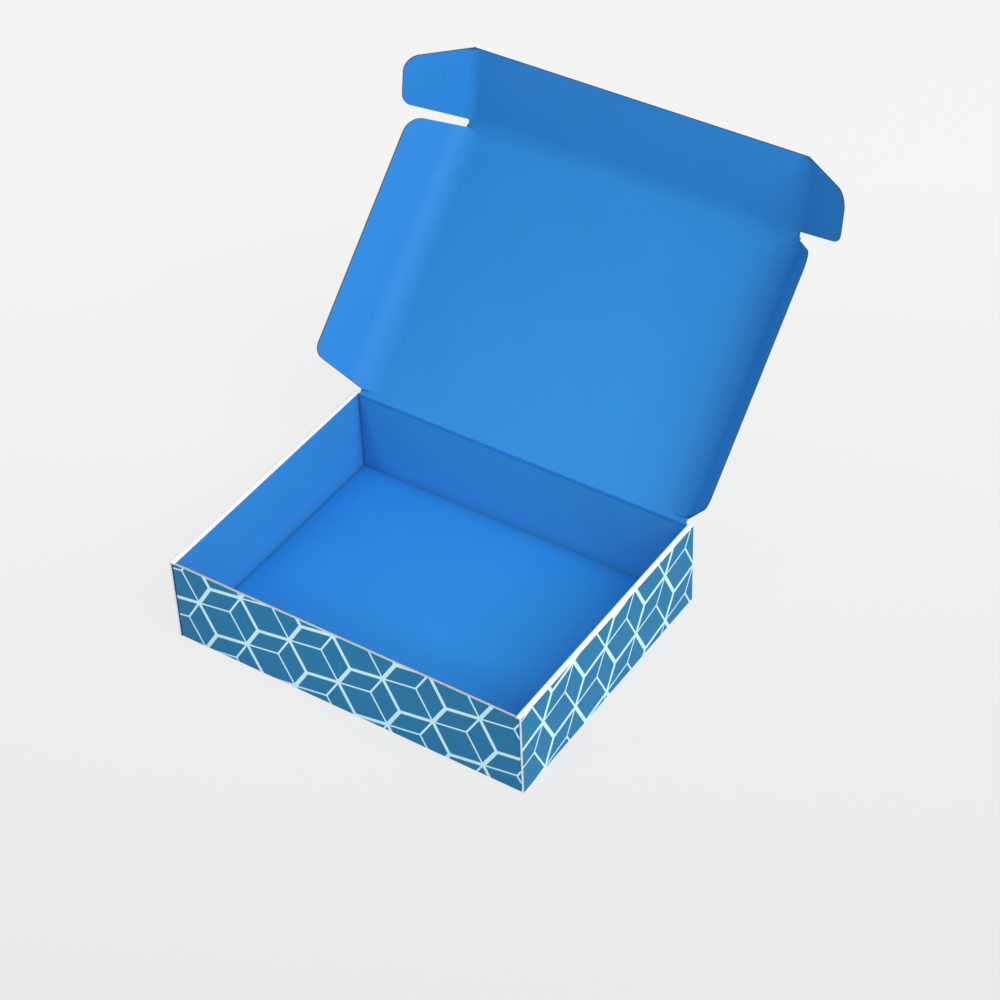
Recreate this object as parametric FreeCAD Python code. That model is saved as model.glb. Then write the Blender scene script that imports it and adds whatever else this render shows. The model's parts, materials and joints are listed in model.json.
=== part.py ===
# A roll-end mailer box folded from one sheet of fine-flute corrugated board, standing open.
# The tray has single front and back walls, double side walls that roll over at the top and
# lock into the floor with tabs, and corner flaps held inside the rolls. The lid hinges on
# the back wall and carries a dust flap at each side and a tuck panel with two ears.
# Millimetres, +Z up, the front wall faces -Y. The origin is the centre of the underside.
import FreeCAD, Part
import math
import os

V = FreeCAD.Vector

# Board
board = 1.6                  # thickness of the corrugated board
layerGap = 0.1               # air left between board layers that lie on each other
bendInner = 0.6              # inside radius of an ordinary right-angle bend
rollInner = 0.2              # inside radius of the two tight bends over the side walls
bendRelief = 0.2             # from the floor's bends up to where the walls' ends are cut free

# Tray
trayWidth = 305.0            # outside, left to right
trayDepth = 231.0            # outside, front to back
trayHeight = 75.0            # outside
frontDrop = 1.0              # how far the front wall stops below the side walls
cornerFlapLength = 70.0      # from the front or back wall's outer face
layerEndGap = 0.3            # room at the ends of the inner layers
tabWidth = 30.0
tabSpacing = 110.0           # between the two locking tabs of a side
slotClearance = 0.25
tabRecess = 0.2              # how far a tab stays above the underside of the floor

# Lid and its flaps, each measured from its crease
lidSideClearance = 0.4       # lid to the inner face of a rolled side wall
tuckClearance = 2.5          # closed lid's front crease to the front wall
tuckHeight = 65.0
dustLength = 50.0
dustRearStart = 4.0          # along the lid's side crease, from the lid's hinge
dustRearRise = 12.0          # how far the rear edge slopes forwards over the flap's length
dustFrontStart = 2.5         # along the side crease, back from the tuck's crease
dustFrontFall = 11.0
dustRearRadius = 11.0
dustFrontRadius = 17.0
earInset = 1.2               # ear's crease inside the lid's side crease
earLength = 56.0
earLidStart = 4.6            # from the tuck's crease, where the ear begins
earLidRise = 20.0            # slope of the edge that slides under the lid
earFreeFall = 2.0            # slope of the ear's free edge
earLidRadius = 10.0          # corner of the tip nearer the lid
earFreeRadius = 13.0         # corner of the tip nearer the free edge
tuckCornerTrim = 0.5         # ear's free edge below the tuck's free edge

# Folds as the open box stands: 0 is flat, 90 is square to the panel that carries the flap
lidOpenAngle = 136.0         # lid from its closed place
tuckFoldAngle = 37.0
dustFoldAngle = 57.0
earLeftFoldAngle = 53.0      # the photographed box's ears stand unequally folded
earRightFoldAngle = 35.0

# Creases: a rounded parent edge, and a flap edge crushed back on its inner side
hingeCutBack = 1.1           # lid's edge from the hinge axis, both faces
foldOuterCut = 0.7           # flap's outer face from its fold axis
foldInnerCut = 1.45          # tuck's and ear's inner face from the fold axis
dustInnerCut = 2.5           # dust flap's inner face, because it folds past square

half = board / 2
rollWidth = 3 * board + 2 * layerGap
innerFace = trayWidth / 2 - rollWidth
lidAxisX = innerFace - lidSideClearance - half
earAxisX = lidAxisX - earInset
hingeY = trayDepth / 2 - half
hingeZ = trayHeight - half
lidLength = trayDepth - 2 * board - tuckClearance


def pathEdges(points, radii):
    """Straight runs joined by tangent arcs; the first and last points stay sharp."""
    edges = []
    start = points[0]
    for before, corner, after, radius in zip(points, points[1:], points[2:], radii):
        toStart = (before - corner).normalize()
        toEnd = (after - corner).normalize()
        halfAngle = toStart.getAngle(toEnd) / 2
        reach = radius / math.tan(halfAngle)
        first = corner + toStart * reach
        last = corner + toEnd * reach
        middle = (toStart + toEnd).normalize()
        top = corner + middle * (radius / math.sin(halfAngle) - radius)
        edges.append(Part.LineSegment(start, first).toShape())
        edges.append(Part.Arc(first, top, last).toShape())
        start = last
    edges.append(Part.LineSegment(start, points[-1]).toShape())
    return edges


def roundedFace(points, radii):
    """A closed outline in which corners with a radius are rounded."""
    edges = []
    count = len(points)
    ends = []
    for i, (corner, radius) in enumerate(zip(points, radii)):
        if radius == 0:
            ends.append((corner, corner, None))
            continue
        toBefore = (points[i - 1] - corner).normalize()
        toAfter = (points[(i + 1) % count] - corner).normalize()
        halfAngle = toBefore.getAngle(toAfter) / 2
        reach = radius / math.tan(halfAngle)
        middle = (toBefore + toAfter).normalize()
        top = corner + middle * (radius / math.sin(halfAngle) - radius)
        ends.append((corner + toBefore * reach, corner + toAfter * reach, top))
    for i in range(count):
        first, last, top = ends[i]
        if top is not None:
            edges.append(Part.Arc(first, top, last).toShape())
        edges.append(Part.LineSegment(last, ends[(i + 1) % count][0]).toShape())
    return Part.Face(Part.Wire(edges))


def foldedStrip(centreLine, radii, normal):
    """Section of a folded sheet: its centre line thickened by half a board to each side."""
    sides = []
    for side in (1, -1):
        shifted = []
        sideRadii = []
        last = len(centreLine) - 1
        for i, point in enumerate(centreLine):
            ahead = (centreLine[min(i + 1, last)] - centreLine[min(i, last - 1)]).normalize()
            behind = (centreLine[max(i, 1)] - centreLine[max(i, 1) - 1]).normalize()
            outAhead = normal.cross(ahead) * side
            outBehind = normal.cross(behind) * side
            mitre = (outAhead + outBehind).normalize()
            shifted.append(point + mitre * (half / mitre.dot(outAhead)))
            if 0 < i < last:
                turn = 1 if normal.dot(behind.cross(ahead)) > 0 else -1
                sideRadii.append(radii[i - 1] - side * turn * half)
        sides.append((shifted, sideRadii))
    (left, leftRadii), (right, rightRadii) = sides
    edges = pathEdges(left, leftRadii)
    edges.append(Part.LineSegment(left[-1], right[-1]).toShape())
    edges += pathEdges(right[::-1], rightRadii[::-1])
    edges.append(Part.LineSegment(right[0], left[0]).toShape())
    return Part.Face(Part.Wire(Part.__sortEdges__(edges)))


def boxBetween(low, high):
    size = high - low
    return Part.makeBox(size.x, size.y, size.z, low)


def bead(start, end, outward):
    """Half-round edge of a creased panel, from start to end on the fold axis."""
    along = end - start
    across = along.cross(outward).normalize() * half
    arc = Part.Arc(start + across, start + outward.normalize() * half, start - across).toShape()
    chord = Part.LineSegment(start - across, start + across).toShape()
    return Part.Face(Part.Wire([arc, chord])).extrude(along)


def mirroredX(shape):
    return shape.mirror(V(0, 0, 0), V(1, 0, 0))


def mirroredY(shape):
    return shape.mirror(V(0, 0, 0), V(0, 1, 0))


def makeTray():
    bendRadius = bendInner + half
    rollRadius = rollInner + half
    floorEdge = trayWidth / 2 - half - bendRadius - board / 2
    cornerFace = trayWidth / 2 - board - layerGap
    wallEnd = cornerFace - bendInner - board
    liningTop = trayHeight - board - layerEndGap
    overBend = bendInner + board + bendRelief
    endPlane = trayDepth / 2 - board - layerEndGap

    # Front wall, floor and back wall in one strip
    frontY = -trayDepth / 2 + half
    line = [V(0, frontY, trayHeight - frontDrop), V(0, frontY, half),
            V(0, -frontY, half), V(0, -frontY, hingeZ)]
    strip = foldedStrip([p + V(-floorEdge, 0, 0) for p in line], [bendRadius] * 2, V(1, 0, 0))
    tray = strip.extrude(V(2 * floorEdge, 0, 0))
    tray = tray.fuse(bead(V(-lidAxisX, hingeY, hingeZ), V(lidAxisX, hingeY, hingeZ), V(0, 0, 1)))

    # The walls stop where they turn into the corner flaps, and duck under the rolled strips
    cuts = []
    farY = trayDepth
    for side in (1, -1):
        xs = sorted((side * wallEnd, side * trayWidth))
        cuts.append(boxBetween(V(xs[0], -farY, overBend), V(xs[1], farY, 2 * trayHeight)))
        xs = sorted((side * (innerFace - layerEndGap), side * trayWidth))
        cuts.append(boxBetween(V(xs[0], -farY, liningTop), V(xs[1], farY, 2 * trayHeight)))
        xs = sorted((side * (innerFace - slotClearance), side * (innerFace + board + slotClearance)))
        for y in (-tabSpacing / 2, tabSpacing / 2):
            reach = tabWidth / 2 + slotClearance
            cuts.append(boxBetween(V(xs[0], y - reach, -board), V(xs[1], y + reach, 2 * board)))
    tray = tray.cut(cuts)

    # Corner flaps, from the ends of the front and back walls into the side walls
    flapX = cornerFace - half
    flapEndY = -trayDepth / 2 + cornerFlapLength
    line = [V(wallEnd - board, frontY, overBend), V(flapX, frontY, overBend), V(flapX, flapEndY, overBend)]
    flap = foldedStrip(line, [bendRadius], V(0, 0, 1)).extrude(V(0, 0, liningTop - overBend))

    # Side wall: up the outside, over the top and down the inside
    outerX = trayWidth / 2 - half
    innerX = innerFace + half
    line = [V(floorEdge, 0, half), V(outerX, 0, half), V(outerX, 0, trayHeight - half),
            V(innerX, 0, trayHeight - half), V(innerX, 0, board + layerGap)]
    radii = [bendRadius, rollRadius, rollRadius]
    line = [p + V(0, -trayDepth / 2, 0) for p in line]
    side = foldedStrip(line, radii, V(0, -1, 0)).extrude(V(0, trayDepth, 0))
    endCuts = []
    for ys in ((-farY, -endPlane), (endPlane, farY)):
        endCuts.append(boxBetween(V(0, ys[0], -board), V(cornerFace + layerGap / 2, ys[1], liningTop)))
    side = side.cut(endCuts)
    tabs = []
    for y in (-tabSpacing / 2, tabSpacing / 2):
        low = V(innerFace, y - tabWidth / 2, tabRecess)
        tabs.append(boxBetween(low, V(innerFace + board, y + tabWidth / 2, 2 * board)))
    side = side.fuse(tabs)

    right = [side, flap, mirroredY(flap)]
    tray = tray.fuse(right + [mirroredX(s) for s in right])
    return tray.removeSplitter()


# Flat panels are drawn with x along the hinge, y away from it and z towards the box's inside

def creasedPanel(outline, innerCut, axis):
    """A flap whose edge is crushed back on the inner side, along the fold axis x or y."""
    far = 4 * trayWidth
    reach = trayWidth
    if axis == "x":
        corners = [V(-far / 2, foldOuterCut, -half), V(-far / 2, reach, -half),
                   V(-far / 2, reach, half), V(-far / 2, innerCut, half)]
        along = V(far, 0, 0)
    else:
        corners = [V(foldOuterCut, -far / 2, -half), V(reach, -far / 2, -half),
                   V(reach, -far / 2, half), V(innerCut, -far / 2, half)]
        along = V(0, far, 0)
    slab = Part.Face(Part.makePolygon(corners + corners[:1])).extrude(along)
    prism = outline.extrude(V(0, 0, 2 * board))
    prism.translate(V(0, 0, -board))
    return slab.common(prism)


def makeLid():
    low = V(-lidAxisX, hingeCutBack, -half)
    panel = boxBetween(low, V(lidAxisX, lidLength, half))
    flapEnds = (dustRearStart, lidLength - dustFrontStart)
    beads = [bead(V(-earAxisX, lidLength, 0), V(earAxisX, lidLength, 0), V(0, 1, 0))]
    for side in (1, -1):
        start, end = [V(side * lidAxisX, y, 0) for y in flapEnds]
        beads.append(bead(start, end, V(side, 0, 0)))
    return panel.fuse(beads).removeSplitter()


def makeDustFlap():
    """Right flap, drawn flat with its crease on the y axis."""
    start = dustRearStart
    end = lidLength - dustFrontStart
    points = [V(0, start, 0), V(dustLength, start + dustRearRise, 0),
              V(dustLength, end - dustFrontFall, 0), V(0, end, 0)]
    return creasedPanel(roundedFace(points, [0, dustRearRadius, dustFrontRadius, 0]), dustInnerCut, "y")


def makeTuck():
    points = [V(-earAxisX, 0, 0), V(earAxisX, 0, 0), V(earAxisX, tuckHeight, 0), V(-earAxisX, tuckHeight, 0)]
    panel = creasedPanel(roundedFace(points, [0, 0, 0, 0]), foldInnerCut, "x")
    beads = []
    for side in (1, -1):
        start = V(side * earAxisX, earLidStart, 0)
        end = V(side * earAxisX, tuckHeight - tuckCornerTrim, 0)
        beads.append(bead(start, end, V(side, 0, 0)))
    return panel.fuse(beads).removeSplitter()


def makeEar():
    """Right ear, drawn flat with its crease on the y axis."""
    free = tuckHeight - tuckCornerTrim
    points = [V(0, earLidStart, 0), V(earLength, earLidStart + earLidRise, 0),
              V(earLength, free - earFreeFall, 0), V(0, free, 0)]
    radii = [0, earLidRadius, earFreeRadius, 0]
    return creasedPanel(roundedFace(points, radii), foldInnerCut, "y")


def turnX(shape, degrees):
    """Fold about the crease on the x axis, towards the inside of the box."""
    shape = shape.copy()
    shape.rotate(V(0, 0, 0), V(1, 0, 0), degrees)
    return shape


def foldSide(flap, side, axisX, degrees):
    """Fold a right-hand flap about its crease, carry it to its axis, and mirror it for the left."""
    flap = flap.copy()
    flap.rotate(V(0, 0, 0), V(0, 1, 0), -degrees)
    flap.translate(V(axisX, 0, 0))
    return flap if side > 0 else mirroredX(flap)


def placeLid(shape):
    """From the flat lid to the open lid: the panel's y runs up and back, its z faces forwards."""
    shape = shape.copy()
    shape.rotate(V(0, 0, 0), V(1, 0, 0), 180 - lidOpenAngle)
    shape.translate(V(0, hingeY, hingeZ))
    return shape


def placeTuck(shape):
    """From the flat tuck to its place on the lid's front edge."""
    shape = turnX(shape, tuckFoldAngle)
    shape.translate(V(0, lidLength, 0))
    return placeLid(shape)


parts = {"tray": makeTray(), "lid": placeLid(makeLid()), "tuck_panel": placeTuck(makeTuck())}
for name, side, earFold in (("right", 1, earRightFoldAngle), ("left", -1, earLeftFoldAngle)):
    parts["dust_flap_" + name] = placeLid(foldSide(makeDustFlap(), side, lidAxisX, dustFoldAngle))
    parts["ear_" + name] = placeTuck(foldSide(makeEar(), side, earAxisX, earFold))

os.makedirs("parts", exist_ok=True)
for name, shape in parts.items():
    solids = shape.Solids
    shape = solids[0] if len(solids) == 1 else shape
    shape.exportStep("parts/" + name + ".step")
    box = shape.BoundBox
    extent = (box.XMin, box.XMax, box.YMin, box.YMax, box.ZMin, box.ZMax)
    print(name, "solids", len(solids), "valid", shape.isValid(), "cm3 %.1f" % (shape.Volume / 1000),
          "x %.1f %.1f y %.1f %.1f z %.1f %.1f" % extent)
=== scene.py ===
import json
import math
import bmesh
import bpy
from mathutils import Matrix, Vector


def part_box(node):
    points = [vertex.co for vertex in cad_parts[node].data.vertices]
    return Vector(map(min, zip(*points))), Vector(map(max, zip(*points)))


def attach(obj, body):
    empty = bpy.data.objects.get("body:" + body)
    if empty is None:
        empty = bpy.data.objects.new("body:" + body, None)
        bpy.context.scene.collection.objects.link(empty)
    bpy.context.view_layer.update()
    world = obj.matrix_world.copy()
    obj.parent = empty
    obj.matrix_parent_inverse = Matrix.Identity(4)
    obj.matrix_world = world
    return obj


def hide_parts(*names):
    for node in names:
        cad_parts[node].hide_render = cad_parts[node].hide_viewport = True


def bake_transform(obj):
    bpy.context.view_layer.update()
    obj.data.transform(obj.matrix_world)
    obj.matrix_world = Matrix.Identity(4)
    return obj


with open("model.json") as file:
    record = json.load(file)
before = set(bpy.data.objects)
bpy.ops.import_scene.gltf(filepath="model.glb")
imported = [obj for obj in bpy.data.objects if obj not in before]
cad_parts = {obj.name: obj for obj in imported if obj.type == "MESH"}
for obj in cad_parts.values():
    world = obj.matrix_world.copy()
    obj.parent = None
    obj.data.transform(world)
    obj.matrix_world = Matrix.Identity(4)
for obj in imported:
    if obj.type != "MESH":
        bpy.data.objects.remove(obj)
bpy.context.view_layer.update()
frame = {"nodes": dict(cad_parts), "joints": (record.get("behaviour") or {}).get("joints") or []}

# Camera: where the photograph was taken from
cameraSetup = {
    "place": (0.90613, -1.20964, 1.43451),
    "azimuth": 34.91,       # degrees, 0 looks along +Y
    "elevation": 41.16,
    "roll": -2.41,
    "lens": 100.47,
    "sensor": 36.0,
}
print("stage: camera")
camera = bpy.data.objects.new("camera", bpy.data.cameras.new("camera"))
bpy.context.scene.collection.objects.link(camera)
camera.data.lens = cameraSetup["lens"]
camera.data.sensor_width = cameraSetup["sensor"]
camera.data.clip_start = 0.05
camera.data.clip_end = 60
turnZ = Matrix.Rotation(math.radians(cameraSetup["azimuth"]), 4, "Z")
tiltX = Matrix.Rotation(math.radians(90 - cameraSetup["elevation"]), 4, "X")
rollZ = Matrix.Rotation(math.radians(cameraSetup["roll"]), 4, "Z")
camera.matrix_world = Matrix.Translation(cameraSetup["place"]) @ turnZ @ tiltX @ rollZ
bpy.context.scene.camera = camera


# Shader maths as plain expressions: a Link wraps one socket
class Link:
    def __init__(self, shade, socket):
        self.shade = shade
        self.socket = socket

    def math(self, operation, other=None, flip=False):
        pair = [self] if other is None else ([other, self] if flip else [self, other])
        return self.shade.node("ShaderNodeMath", {"operation": operation}, pair)

    def __add__(self, other):
        return self.math("ADD", other)

    def __radd__(self, other):
        return self.math("ADD", other)

    def __sub__(self, other):
        return self.math("SUBTRACT", other)

    def __rsub__(self, other):
        return self.math("SUBTRACT", other, True)

    def __mul__(self, other):
        return self.math("MULTIPLY", other)

    def __rmul__(self, other):
        return self.math("MULTIPLY", other)

    def __truediv__(self, other):
        return self.math("DIVIDE", other)

    def __rtruediv__(self, other):
        return self.math("DIVIDE", other, True)


class Shade:
    def __init__(self, name):
        self.material = bpy.data.materials.new(name)
        self.material.use_nodes = True
        self.tree = self.material.node_tree
        self.tree.nodes.clear()

    def node(self, kind, settings, values, out=0):
        made = self.tree.nodes.new(kind)
        for key, value in settings.items():
            setattr(made, key, value)
        pairs = values.items() if isinstance(values, dict) else enumerate(values)
        for key, value in pairs:
            if isinstance(value, Link):
                self.tree.links.new(value.socket, made.inputs[key])
            elif value is not None:
                made.inputs[key].default_value = value
        return Link(self, made.outputs[out]) if made.outputs else None

    def uv(self, name):
        return self.node("ShaderNodeUVMap", {"uv_map": name}, [])

    def place(self):
        return self.node("ShaderNodeTexCoord", {}, [], "Object")

    def split(self, vector, axis):
        return self.node("ShaderNodeSeparateXYZ", {}, [vector], axis)

    def join(self, x, y, z=0.0):
        return self.node("ShaderNodeCombineXYZ", {}, [x, y, z])

    def vector(self, operation, *values, out=0):
        return self.node("ShaderNodeVectorMath", {"operation": operation}, list(values), out)

    def mixColour(self, factor, first, second):
        values = {0: factor, 6: first, 7: second}
        return self.node("ShaderNodeMix", {"data_type": "RGBA"}, values, 2)

    def noise(self, vector, scale, detail=2.0):
        values = {"Vector": vector, "Scale": scale, "Detail": detail, "Roughness": 0.5}
        return self.node("ShaderNodeTexNoise", {}, values, "Fac")

    def step(self, value, low, high):
        values = {0: value, 1: low, 2: high, 3: 0.0, 4: 1.0}
        return self.node("ShaderNodeMapRange", {"interpolation_type": "SMOOTHSTEP"}, values)

    def finish(self, colour, roughness, height, relief):
        bump = self.node("ShaderNodeBump", {}, {"Distance": relief, "Height": height})
        values = {"Base Color": colour, "Roughness": roughness, "Normal": bump,
                  "Specular IOR Level": paperLook["specular"]}
        surface = self.node("ShaderNodeBsdfPrincipled", {}, values)
        self.node("ShaderNodeOutputMaterial", {}, [surface])
        return self.material


def ink(red, green, blue):
    # An sRGB colour from 0 to 255 as the linear colour that the shader takes
    def linear(v):
        v = v / 255
        return v / 12.92 if v <= 0.04045 else ((v + 0.055) / 1.055) ** 2.4
    return (linear(red), linear(green), linear(blue), 1.0)


# Sizes read from the frame
low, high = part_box("tray")
traySize = high - low
jointOf = {j["child"]: j for j in frame["joints"]}

# Inks and bare paper, sRGB, and one inside blue made paler as painted light
boardColours = {
    "inside": (44, 141, 219),
    # the inside ink again, made paler for the tray's walls: painted light
    "insideWallPaintedLight": (63, 155, 221),
    "printBlue": (5, 119, 168),
    "line": (208, 247, 255),
    "liner": (252, 253, 254),
}

# Paper on fluted board, seen close. Metres, and noise scales for each metre
paperLook = {
    "flutePitch": 0.0033,
    "roughness": 0.50,
    "roughSpread": 0.10,
    "roughScale": 60.0,
    "linerRoughness": 0.6,
    "specular": 0.25,
    "relief": 0.00006,      # bump of printed and inked paper
    "linerRelief": 0.00005,
    "waveShare": 0.30,      # shares of the relief: flutes, grain and dents
    "grainShare": 0.55,
    "dentShare": 1.2,
    "grainScale": 900.0,
    "grainStretch": 0.35,
    "dentScale": 14.0,
    "dentsFrom": 0.35,      # flutes show more where the dents' noise is high
    "dentsTo": 0.75,
    "waveLeast": 0.3,
    "waveExtra": 0.5,
    "toneSpread": 0.10,     # how much the colour varies
    "linerSpread": 0.05,
    "patchScale": 22.0,
    "patchShare": 0.7,
    "speckScale": 1400.0,
    "speckStretch": 0.4,
    "speckShare": 0.5,
    "waveTone": 0.06,
    "toneMiddle": 0.6,
}

# The line pattern repeats in two directions. Its three edge directions are those of a stack
# of cubes; heavy lines outline each cube and thin ones draw its three faces. Millimetres.
cubePattern = {
    "steep": (12.9, -26.0),
    "rising": (12.0, 19.6),
    "long": (28.6, 5.1),
    "heavyWidth": 3.0,
    "thinWidth": 1.5,
    "softness": 0.25,
    "frontStart": (0.0240, 0.0451),     # a corner of the pattern, from the wall's lower left, metres
    "sideStart": (0.0265, 0.0488),
}

# Painted shade in the tray's inner creases: a dark line along each and a wide soft shade. Metres
creaseShadeLook = {
    "insideX": traySize.x / 2 - 0.0050,     # inner faces of the rolled walls
    "insideY": traySize.y / 2 - 0.0016,     # of the front and back walls
    "floor": 0.0016,
    "lineFrom": 0.0003,
    "lineTo": 0.0026,
    "lineDepth": 0.20,
    "softTo": 0.012,
    "softDepth": 0.11,
}


def fluteWave(across):
    return (across * (2 * math.pi / paperLook["flutePitch"])).math("SINE")


def paperHeight(shade, flutes):
    # Washboard of the flutes, fine paper grain and a few long soft dents
    across = shade.split(flutes, 0)
    along = shade.split(flutes, 1)
    grainPlace = shade.join(across, along * paperLook["grainStretch"])
    grain = shade.noise(grainPlace, paperLook["grainScale"], 3.0)
    dents = shade.noise(shade.join(across, along), paperLook["dentScale"])
    strength = shade.step(dents, paperLook["dentsFrom"], paperLook["dentsTo"])
    strength = strength * paperLook["waveExtra"] + paperLook["waveLeast"]
    wave = fluteWave(across) * strength
    return (wave * paperLook["waveShare"] + grain * paperLook["grainShare"]
            + dents * paperLook["dentShare"])


def toneOf(shade, flutes, spread):
    # About 1, a little more or less from place to place
    across = shade.split(flutes, 0)
    along = shade.split(flutes, 1)
    patches = shade.noise(shade.join(across, along), paperLook["patchScale"], 3.0)
    speckPlace = shade.join(across, along * paperLook["speckStretch"])
    specks = shade.noise(speckPlace, paperLook["speckScale"])
    tone = patches * paperLook["patchShare"] + specks * paperLook["speckShare"]
    tone = tone + fluteWave(across) * paperLook["waveTone"] - paperLook["toneMiddle"]
    return tone * spread + 1.0


def paintedCreaseShade(shade):
    # Painted shade: blue darkens in the tray's inner creases. Of the distances to its wall, end and floor
    # planes the middle one is that to the nearest crease
    place = shade.place()
    wall = creaseShadeLook["insideX"] - shade.split(place, 0).math("ABSOLUTE")
    end = creaseShadeLook["insideY"] - shade.split(place, 1).math("ABSOLUTE")
    rise = shade.split(place, 2) - creaseShadeLook["floor"]
    nearer = wall.math("MINIMUM", end)
    farther = wall.math("MAXIMUM", end)
    middle = nearer.math("MAXIMUM", farther.math("MINIMUM", rise)).math("MAXIMUM", 0.0)
    line = 1.0 - shade.step(middle, creaseShadeLook["lineFrom"], creaseShadeLook["lineTo"])
    soft = 1.0 - shade.step(middle, 0.0, creaseShadeLook["softTo"])
    return 1.0 - line * creaseShadeLook["lineDepth"] - soft * creaseShadeLook["softDepth"]


def scaled(shade, colour, tone):
    return shade.node("ShaderNodeVectorMath", {"operation": "SCALE"}, {0: colour, "Scale": tone})


def coated(shade, flutes, colour, tone):
    # Printed or inked paper
    toned = scaled(shade, colour, tone)
    roughness = shade.noise(flutes, paperLook["roughScale"]) * paperLook["roughSpread"]
    roughness = roughness + paperLook["roughness"]
    return shade.finish(toned, roughness, paperHeight(shade, flutes), paperLook["relief"])


def insideMaterial(name, paint, withCreaseShade):
    shade = Shade(name)
    flutes = shade.uv("flutes")
    tone = toneOf(shade, flutes, paperLook["toneSpread"])
    if withCreaseShade:
        # painted shade in the tray's inner creases
        tone = tone * paintedCreaseShade(shade)
    return coated(shade, flutes, ink(*boardColours[paint])[:3], tone)


def segmentDistance(shade, point, start, end):
    # Distance in millimetres from a point to a straight line between two fixed points
    run = (end[0] - start[0], end[1] - start[1])
    square = run[0] ** 2 + run[1] ** 2
    away = shade.vector("SUBTRACT", point, (start[0], start[1], 0.0))
    along = shade.vector("DOT_PRODUCT", away, (run[0] / square, run[1] / square, 0.0), out="Value")
    held = along.math("MINIMUM", 1.0).math("MAXIMUM", 0.0)
    foot = shade.join(held * run[0], held * run[1])
    return shade.vector("LENGTH", shade.vector("SUBTRACT", away, foot), out="Value")


def cubeLines(shade, sheet):
    # 1 on a line, 0 between lines. Within each repeat three heavy lines meet and three thin
    # ones; around each corner of it all six are drawn again, so that their ends join
    steep, rising, long = (Vector(cubePattern[k]) for k in ("steep", "rising", "long"))
    first, second = steep + long, rising + long
    corner = Vector((0, 0))
    heavyMeet, thinMeet = first + rising, long
    within = {
        "heavyWidth": [(second, heavyMeet), (first + second, heavyMeet), (first, heavyMeet)],
        "thinWidth": [(first, thinMeet), (corner, thinMeet), (second, thinMeet)],
    }
    around = {
        "heavyWidth": [(corner, steep), (corner, rising), (corner, -long)],
        "thinWidth": [(corner, -steep), (corner, -rising), (corner, long)],
    }
    area = first.x * second.y - first.y * second.x
    x = shade.split(sheet, 0) * 1000.0
    y = shade.split(sheet, 1) * 1000.0
    s = (x * second.y - y * second.x) / area
    t = (y * first.x - x * first.y) / area
    distances = {"heavyWidth": [], "thinWidth": []}
    for s, t, lines in ((s.math("FRACT"), t.math("FRACT"), within),
                        (s - s.math("ROUND"), t - t.math("ROUND"), around)):
        point = shade.join(s * first.x + t * second.x, s * first.y + t * second.y)
        for width, runs in lines.items():
            distances[width] += [segmentDistance(shade, point, *run) for run in runs]
    mask = None
    for width, found in distances.items():
        nearest = found[0]
        for other in found[1:]:
            nearest = nearest.math("MINIMUM", other)
        edge, soft = cubePattern[width] / 2, cubePattern["softness"] / 2
        line = 1.0 - shade.step(nearest, edge - soft, edge + soft)
        mask = line if mask is None else mask.math("MAXIMUM", line)
    return mask


def printMaterial():
    shade = Shade("cubePrint")
    flutes = shade.uv("flutes")
    lines = cubeLines(shade, shade.uv("sheet"))
    colour = shade.mixColour(lines, ink(*boardColours["printBlue"]), ink(*boardColours["line"]))
    return coated(shade, flutes, colour, toneOf(shade, flutes, paperLook["toneSpread"]))


def linerMaterial():
    shade = Shade("whiteLiner")
    flutes = shade.uv("flutes")
    tone = toneOf(shade, flutes, paperLook["linerSpread"])
    colour = scaled(shade, ink(*boardColours["liner"])[:3], tone)
    height = paperHeight(shade, flutes)
    return shade.finish(colour, paperLook["linerRoughness"], height, paperLook["linerRelief"])


# Cut edges. Across the board from 0 to 1: how high the fluted core swings, where it fades
# into the hollow, and where the liners start. Each hollow colour is painted shade in the
# flutes' voids
edgeLook = {
    "swing": 0.28,
    "coreFrom": 0.10,
    "coreTo": 0.22,
    "linerFrom": 0.34,
    "linerTo": 0.40,
    "roughness": 0.8,
    "boardColours": {
        "cutEdge": {"core": (226, 216, 204), "hollow": (178, 162, 146), "liner": (246, 246, 244)},
        "paleCutEdge": {"core": (249, 248, 246), "hollow": (238, 236, 232), "liner": (252, 253, 254)},
        # the lid's cut edges: a blue-grey board edge, darkened as painted shade
        "shadedBlueEdge": {"core": (64, 104, 146), "hollow": (36, 60, 92), "liner": (60, 118, 176)},
    },
    "relief": {"cutEdge": 0.0002, "paleCutEdge": 0.00003, "shadedBlueEdge": 0.0002},
}


def edgeMaterial(name):
    # Two liners with the fluted core between them. The edge layer's x runs along the edge
    # and its y through the board
    shade = Shade(name)
    paints = {part: ink(*colour) for part, colour in edgeLook["boardColours"][name].items()}
    edge = shade.uv("edge")
    across = shade.split(edge, 1)
    wave = fluteWave(shade.split(edge, 0)) * edgeLook["swing"] + 0.5
    fromWave = (across - wave).math("ABSOLUTE")
    fromMiddle = (across - 0.5).math("ABSOLUTE")
    core = 1.0 - shade.step(fromWave, edgeLook["coreFrom"], edgeLook["coreTo"])
    liner = shade.step(fromMiddle, edgeLook["linerFrom"], edgeLook["linerTo"])
    # painted shade: the hollows between the flutes are darker than the core
    colour = shade.mixColour(core, paints["hollow"], paints["core"])
    colour = shade.mixColour(liner, colour, paints["liner"])
    solid = core.math("MAXIMUM", liner)
    return shade.finish(colour, edgeLook["roughness"], solid, edgeLook["relief"][name])


print("stage: materials")
materials = {
    "inside": insideMaterial("blueInside", "inside", False),
    # The tray's floor and walls get painted shade in their creases, and the walls a paler blue as painted
    # light
    "trayFloor": insideMaterial("blueFloor", "inside", True),
    "trayWall": insideMaterial("blueWall", "insideWallPaintedLight", True),
    "print": printMaterial(),
    "white": linerMaterial(),
    "edge": edgeMaterial("cutEdge"),
    "paleEdge": edgeMaterial("paleCutEdge"),
    "blueEdge": edgeMaterial("shadedBlueEdge"),
}
materialOrder = list(materials)

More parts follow.
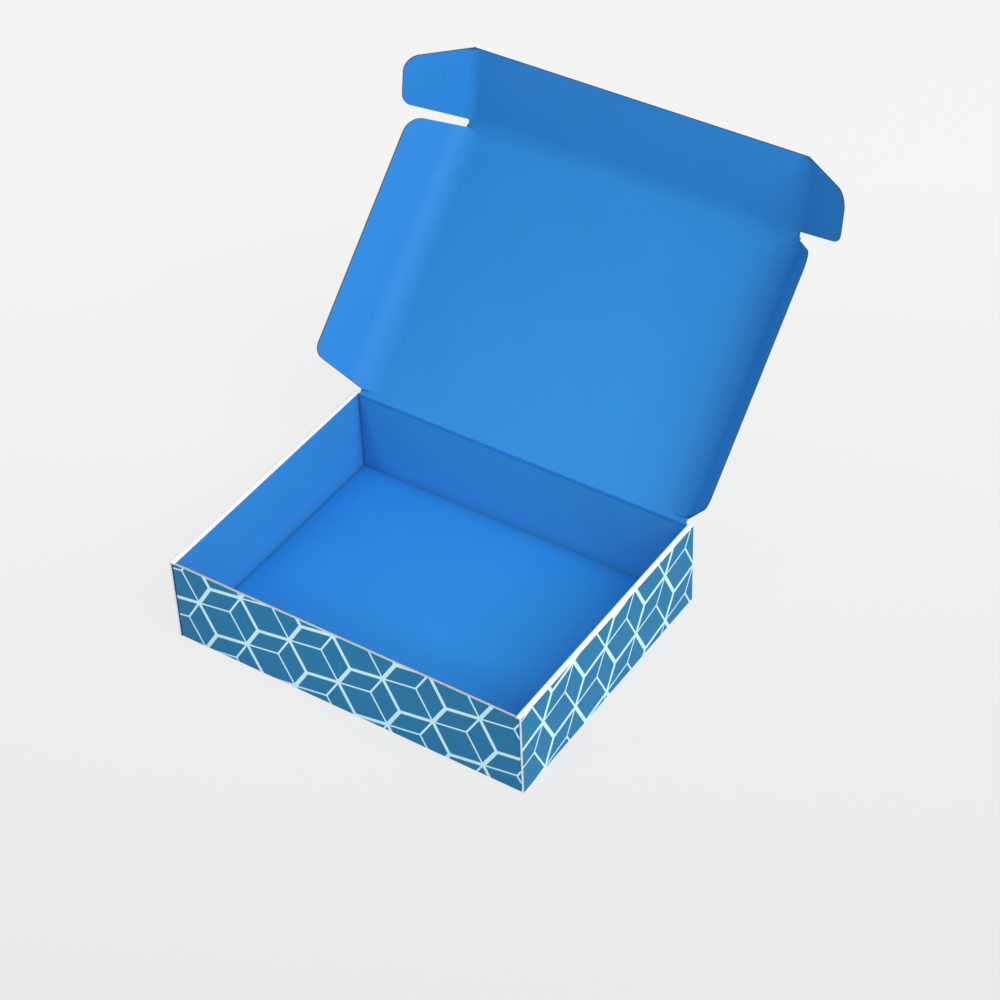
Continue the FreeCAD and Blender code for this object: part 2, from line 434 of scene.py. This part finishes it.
# The folded board, and how its faces are told apart. Metres, and degrees for angles
board = {
    "thickness": 0.0016,
    "bend": 0.0023,         # outside radius of a bend, with a little room
    "lidAngle": 44.0,       # lid above level, as it stands open
    "tuckAngle": 81.0,
    "folds": {"dust_flap_left": 57.0, "dust_flap_right": 57.0, "ear_left": 53.0, "ear_right": 35.0},
    "rollWidth": 0.00512,   # from the tray's side to the inner face of its rolled wall
    "rollDepth": 0.00192,   # from the tray's top down through one layer
    "underRoll": 0.00175,   # from the tray's top down to the gap under its rolled strips
    "frontDepth": 0.0032,   # the front wall's cut edge lies no deeper below the tray's top
    "cornerGap": 0.00005,   # beside the front wall, where a rolled wall's cut end begins
    "creaseReach": 0.0019,  # how near a crease the board counts as bent, not cut
    "insideSeenFrom": (0.0, -0.3, 0.6),
    "weld": 0.000001,
    "flatAngle": 0.5,       # faces that differ less become one
    "sharpAngle": 35.0,     # edges that bend more are shaded sharp
}

# How squarely a face has to look a way, as the cosine of the angle between
facings = {
    "cutEnd": 0.9995,
    "square": 0.9,
    "mostly": 0.7,
    "top": 0.5,
    "panel": 0.4,
    "bend": 0.35,
}


def dressedCopy(nodeName, body, sort, splits=()):
    # A merged copy of the solid, on which every face gets its paper and its place on the sheet.
    # Splits are planes, where one flat face holds more than one kind of paper
    mesh = frame["nodes"][nodeName].data.copy()
    form = bmesh.new()
    form.from_mesh(mesh)
    bmesh.ops.remove_doubles(form, verts=form.verts, dist=board["weld"])
    flat = math.radians(board["flatAngle"])
    bmesh.ops.dissolve_limit(form, angle_limit=flat, verts=form.verts, edges=form.edges)
    bmesh.ops.recalc_face_normals(form, faces=form.faces)
    for point, normal in splits:
        whole = form.verts[:] + form.edges[:] + form.faces[:]
        bmesh.ops.bisect_plane(form, geom=whole, dist=board["weld"] / 10, plane_co=point, plane_no=normal)
    sharp = math.radians(board["sharpAngle"])
    for edge in form.edges:
        edge.smooth = len(edge.link_faces) == 2 and edge.calc_face_angle(0) < sharp
    layers = sheetLayers(form)
    for face in form.faces:
        face.smooth = True
        kind, sheet, flutes, through = sort(face.calc_center_median(), face.normal)
        face.material_index = materialOrder.index(kind)
        for loop in face.loops:
            point = loop.vert.co
            loop[layers["sheet"]].uv = sheet(point)
            loop[layers["flutes"]].uv = flutes(point)
        if through:
            layEdge(face, layers["edge"], through)
    return placeBoard(nodeName + "_board", form, body, nodeName, mesh)


def sheetLayers(form):
    return {name: form.loops.layers.uv.new(name) for name in ("sheet", "flutes", "edge")}


def placeBoard(name, form, body, nodeName=None, mesh=None):
    mesh = mesh or bpy.data.meshes.new(name)
    while len(mesh.materials):
        mesh.materials.pop(index=0)
    for key in materialOrder:
        mesh.materials.append(materials[key])
    form.to_mesh(mesh)
    form.free()
    piece = bpy.data.objects.new(name, mesh)
    bpy.context.scene.collection.objects.link(piece)
    if body:
        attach(piece, body)
    if nodeName:
        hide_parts(nodeName)
    return piece


def layEdge(face, layer, through):
    # Cut edge: x runs along it and y through the board. Flutes show only where the cut
    # crosses them
    run = face.normal.cross(through).normalized()
    crossing = 1.0 if abs(run.x) > facings["bend"] else 0.0
    depths = [through.dot(v.co) for v in face.verts]
    base, span = min(depths), max(max(depths) - min(depths), 1e-5)
    for loop in face.loops:
        point = loop.vert.co
        loop[layer].uv = (run.dot(point) * crossing, (through.dot(point) - base) / span)


def sortTray(centre, normal):
    # What a face of the tray is made of, where it lies on the sheet for the print and for the
    # flutes, and through which way its cut edge is seen
    half, top = traySize / 2, traySize.z
    sideX, sideY = math.copysign(1, centre.x), math.copysign(1, centre.y)
    outX, outY = normal.x * sideX, normal.y * sideY
    rolled = abs(centre.x) > half.x - board["rollWidth"]
    onRoll = rolled and centre.z > top - board["rollDepth"]
    front, side = cubePattern["frontStart"], cubePattern["sideStart"]
    alongSide = (lambda p: (sideX * p.y + half.y - side[0], p.z - side[1]), lambda p: (p.z, p.y))
    alongFront = (lambda p: (-sideY * p.x + half.x - front[0], p.z - front[1]), lambda p: (p.x, p.z))
    flat = (lambda p: (p.x + half.x, p.y), lambda p: (p.x, p.y))
    if onRoll and normal.z > facings["top"]:
        return "white", *flat, None
    if (rolled and outY > facings["cutEnd"]) or (onRoll and abs(outY) > facings["square"]):
        return "paleEdge", *alongFront, acrossX
    if abs(centre.x) > half.x - board["bend"] and outX > facings["bend"]:
        return "print", *alongSide, None
    if abs(centre.y) > half.y - board["bend"] and outY > facings["bend"]:
        return "print", *alongFront, None
    if centre.z < board["bend"] and normal.z < -facings["bend"]:
        return "print", *flat, None
    if normal.z > facings["square"] and centre.z > top - board["frontDepth"] and centre.y < 0:
        return "edge", *alongFront, alongY
    if normal.z > facings["mostly"]:
        return "trayFloor", *flat, None
    return "trayWall", *(alongSide if abs(normal.x) > facings["mostly"] else alongFront), None


def sortPanel(origin, across, up, start, creases):
    # Flat panel of the lid: printed behind, blue in front, cut edges around. Start is where the
    # origin lies on the flat sheet. The creases are lines, each a point with its direction;
    # board beside one is inked, never cut
    facing = across.cross(up)
    if facing.dot(Vector(board["insideSeenFrom"]) - origin) < 0:
        facing = -facing

    def flat(p):
        return (start[0] + across.dot(p - origin), start[1] + up.dot(p - origin))

    def sheet(p):
        return printPlace(*flat(p))

    def sort(centre, normal):
        side = normal.dot(facing)
        fromCreases = [(centre - point).cross(line).length for point, line in creases]
        if side < -facings["panel"]:
            return "print", sheet, flat, None
        if side > facings["panel"] or min(fromCreases) < board["creaseReach"]:
            return "inside", sheet, flat, None
        return "blueEdge", sheet, flat, facing
    return sort


def printPlace(flatX, flatY):
    # The print runs on from the back wall over the lid, tuck and flaps
    startX, startY = cubePattern["frontStart"]
    return (traySize.x / 2 - flatX - startX, flatY - startY)


def direction(angle):
    return Vector((0, math.cos(math.radians(angle)), math.sin(math.radians(angle))))


print("stage: board pieces")
acrossX = Vector((1, 0, 0))
alongY = Vector((0, 1, 0))
endX = traySize.x / 2 - board["thickness"] - board["cornerGap"]
underRoll = traySize.z - board["underRoll"]
traySplits = [((endX, 0, 0), (1, 0, 0)), ((-endX, 0, 0), (1, 0, 0)), ((0, 0, underRoll), (0, 0, 1))]
dressedCopy("tray", "tray", sortTray, traySplits)
hinge = Vector(jointOf["lid"]["pos_m"])
crease = Vector(jointOf["tuck"]["pos_m"])
lidUp = direction(board["lidAngle"])
tuckUp = direction(board["tuckAngle"])
lidLength = (crease - hinge).length
lidStart, tuckStart = traySize.z, traySize.z + lidLength
sideCreases = [(Vector(jointOf["dust_flap_" + n]["pos_m"]), lidUp) for n in ("left", "right")]
earCreases = [(Vector(jointOf["ear_" + n]["pos_m"]), tuckUp) for n in ("left", "right")]
longCreases = [(hinge, acrossX), (crease, acrossX)]
lidSort = sortPanel(hinge, acrossX, lidUp, (0, lidStart), longCreases + sideCreases)
tuckSort = sortPanel(crease, acrossX, tuckUp, (0, tuckStart), longCreases + earCreases)
dressedCopy("lid", "lid", lidSort)
dressedCopy("tuck_panel", "tuck", tuckSort)
outward = {}
for name, side in (("left", -1), ("right", 1)):
    for node, up, start, creases in (("dust_flap_" + name, lidUp, lidStart, sideCreases),
                                     ("ear_" + name, tuckUp, tuckStart, earCreases)):
        axis = Vector(jointOf[node]["pos_m"])
        fold = math.radians(board["folds"][node])
        inward = Vector((0, -up.z, up.y))
        outward[node] = acrossX * side * math.cos(fold) + inward * math.sin(fold)
        dressedCopy(node, node, sortPanel(axis, outward[node] * side, up, (axis.x, start), creases))

# Paper that bends over each crease and closes it on both faces. Metres: reach is how far the
# soft bend runs onto each panel, from and to are places along the crease, and a slope moves an
# end along the crease for each metre out over the flap
bendLook = {
    "lift": 0.00004,
    "steps": 10,
    "hinge": {"reach": 0.0030, "backReach": 0.0022, "from": -0.1460, "to": 0.1460},
    "tuck": {"reach": 0.0100, "backReach": 0.0024, "from": -0.1447, "to": 0.1447},
    "dust_flap": {"reach": 0.0150, "backReach": 0.0024, "from": 0.0044, "fromSlope": 0.25,
                  "to": 0.2224, "toSlope": -0.23},
    "ear": {"reach": 0.0075, "backReach": 0.0024, "from": 0.0050, "fromSlope": 0.37,
            "to": 0.0642, "toSlope": -0.04},
}


def bendPath(first, second, normalA, normalB, height, reach):
    # Section across a crease: points with the distance gone over the sheet, from the panel
    # that lies towards first to the one towards second. Hollow bends get a soft fillet
    startPoint = normalA * height + first * reach
    endPoint = normalB * height + second * reach
    steps = bendLook["steps"]
    points = []
    if first.dot(normalB) > 0:
        corner = (normalA + normalB) * (height / (1 + normalA.dot(normalB)))
        for i in range(steps + 1):
            t = i / steps
            point = startPoint.lerp(corner, t).lerp(corner.lerp(endPoint, t), t)
            points.append((point, (2 * t - 1) * reach))
        return points
    points = [(startPoint, -reach), (startPoint.lerp(normalA * height, 0.5), -reach / 2)]
    for i in range(steps + 1):
        points.append((normalA.lerp(normalB, i / steps).normalized() * height, 0.0))
    return points + [(endPoint.lerp(normalB * height, 0.5), reach / 2), (endPoint, reach)]


def bendStrip(name, axis, along, panels, normals, values, start, side, back):
    # One face of the paper over a crease; it turns smoothly from the one panel to the other.
    # A flat grid's rows take the places of the section's points, its columns the crease's ends
    height = board["thickness"] / 2 + bendLook["lift"]
    reach = values["backReach" if back else "reach"]
    if back:
        normals = [-normal for normal in normals]
    path = bendPath(*panels, *normals, height, reach)
    form = bmesh.new()
    layers = sheetLayers(form)
    bmesh.ops.create_grid(form, x_segments=1, y_segments=len(path) - 1, size=0.5)
    onSheet = {}
    for vert in form.verts:
        offset, gone = path[round((vert.co.y + 0.5) * (len(path) - 1))]
        end = "to" if vert.co.x > 0 else "from"
        q = values[end] + max(gone, 0.0) * values.get(end + "Slope", 0)
        vert.co = axis + offset + along * q
        flat = (side * gone, q) if side else (q, gone)
        onSheet[vert] = (start[0] + flat[0], start[1] + flat[1])
    for face in form.faces:
        face.normal_update()
        if face.normal.dot(normals[0] + normals[1]) < 0:
            face.normal_flip()
        face.smooth = True
        face.material_index = materialOrder.index("print" if back else "inside")
        for loop in face.loops:
            loop[layers["sheet"]].uv = printPlace(*onSheet[loop.vert])
            loop[layers["flutes"]].uv = onSheet[loop.vert]
    piece = placeBoard(name + ("_back" if back else "_front"), form, None)
    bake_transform(piece)


print("stage: creases")
lidInside = Vector((0, -lidUp.z, lidUp.y))
tuckInside = Vector((0, -tuckUp.z, tuckUp.y))
wallDown = Vector((0, 0, -1))
for back in (False, True):
    bendStrip("bend_hinge", hinge, acrossX, (wallDown, lidUp), (-alongY, lidInside),
              bendLook["hinge"], (0, lidStart), 0, back)
    bendStrip("bend_tuck", crease, acrossX, (-lidUp, tuckUp), (lidInside, tuckInside),
              bendLook["tuck"], (0, tuckStart), 0, back)
    for kind, body, up, inside, start in (("dust_flap", "lid", lidUp, lidInside, lidStart),
                                          ("ear", "tuck", tuckUp, tuckInside, tuckStart)):
        for name, side in (("left", -1), ("right", 1)):
            node = kind + "_" + name
            axis = Vector(jointOf[node]["pos_m"])
            fold = math.radians(board["folds"][node])
            flapInside = inside * math.cos(fold) - acrossX * side * math.sin(fold)
            bendStrip("bend_" + node, axis, up, (-acrossX * side, outward[node]),
                      (inside, flapInside), bendLook[kind], (axis.x, start), side, back)

# Floor and backdrop: one pale surface, brighter behind than in front
stageLook = {
    "near": (234, 234, 234),
    "far": (246, 246, 246),
    "nearAt": -0.36,
    "farAt": 0.54,
    "glow": 0.92,           # how little of the shadows shows
    "size": 40.0,
}


def stageMaterial():
    shade = Shade("paleFloor")
    direct = shade.node("ShaderNodeLightPath", {}, [], "Is Camera Ray")
    mirrored = shade.node("ShaderNodeLightPath", {}, [], "Is Glossy Ray")
    through = shade.node("ShaderNodeLightPath", {}, [], "Is Transmission Ray")
    seen = (direct + mirrored + through).math("MINIMUM", 1.0)
    away = math.radians(cameraSetup["azimuth"])
    ahead = shade.vector("DOT_PRODUCT", shade.place(), (-math.sin(away), math.cos(away), 0.0), out="Value")
    blend = (ahead - stageLook["nearAt"]) / (stageLook["farAt"] - stageLook["nearAt"])
    blend = blend.math("MINIMUM", 1.0).math("MAXIMUM", 0.0)
    colour = shade.mixColour(blend, ink(*stageLook["near"]), ink(*stageLook["far"]))
    paint = shade.node("ShaderNodeBsdfDiffuse", {}, {"Color": colour})
    glow = shade.node("ShaderNodeEmission", {}, {"Color": colour, "Strength": 1.0})
    mix = shade.node("ShaderNodeMixShader", {}, [seen * stageLook["glow"], paint, glow])
    shade.node("ShaderNodeOutputMaterial", {}, [mix])
    return shade.material


print("stage: floor and lights")
form = bmesh.new()
bmesh.ops.create_grid(form, x_segments=1, y_segments=1, size=stageLook["size"] / 2)
floorMesh = bpy.data.meshes.new("floor")
form.to_mesh(floorMesh)
form.free()
floor = bpy.data.objects.new("floor", floorMesh)
bpy.context.scene.collection.objects.link(floor)
floorMesh.materials.append(stageMaterial())

# Lights: an even pale room, with a soft key from the right and a fill in front
lightSetup = {
    "world": 0.50,
    "lamps": {
        "key": {"kind": "AREA", "place": (1.85, -0.35, 1.98), "aim": (0, 0, 0.1),
                "size": 1.7, "power": 47.0},
        "lift": {"kind": "SPOT", "place": (-0.30, -0.90, 0.78), "aim": (0.0, 0.05, 0.03),
                 "size": 0.12, "power": 13.0},
    },
    "liftAngle": 24.0,      # degrees across the soft spot that opens up the tray's inside
}
world = bpy.data.worlds.new("room")
world.use_nodes = True
world.node_tree.nodes["Background"].inputs["Color"].default_value = (1, 1, 1, 1)
world.node_tree.nodes["Background"].inputs["Strength"].default_value = lightSetup["world"]
bpy.context.scene.world = world
for name, values in lightSetup["lamps"].items():
    lamp = bpy.data.objects.new(name, bpy.data.lights.new(name, values["kind"]))
    lamp.data.energy = values["power"]
    if values["kind"] == "SPOT":
        lamp.data.shadow_soft_size = values["size"]
        lamp.data.spot_size = math.radians(lightSetup["liftAngle"])
        lamp.data.spot_blend = 1.0
    else:
        lamp.data.size = values["size"]
    lamp.location = values["place"]
    aim = Vector(values["aim"]) - Vector(values["place"])
    lamp.rotation_euler = aim.to_track_quat("-Z", "Y").to_euler()
    bpy.context.scene.collection.objects.link(lamp)
bpy.context.scene.view_settings.view_transform = "Standard"

print("stage: done")
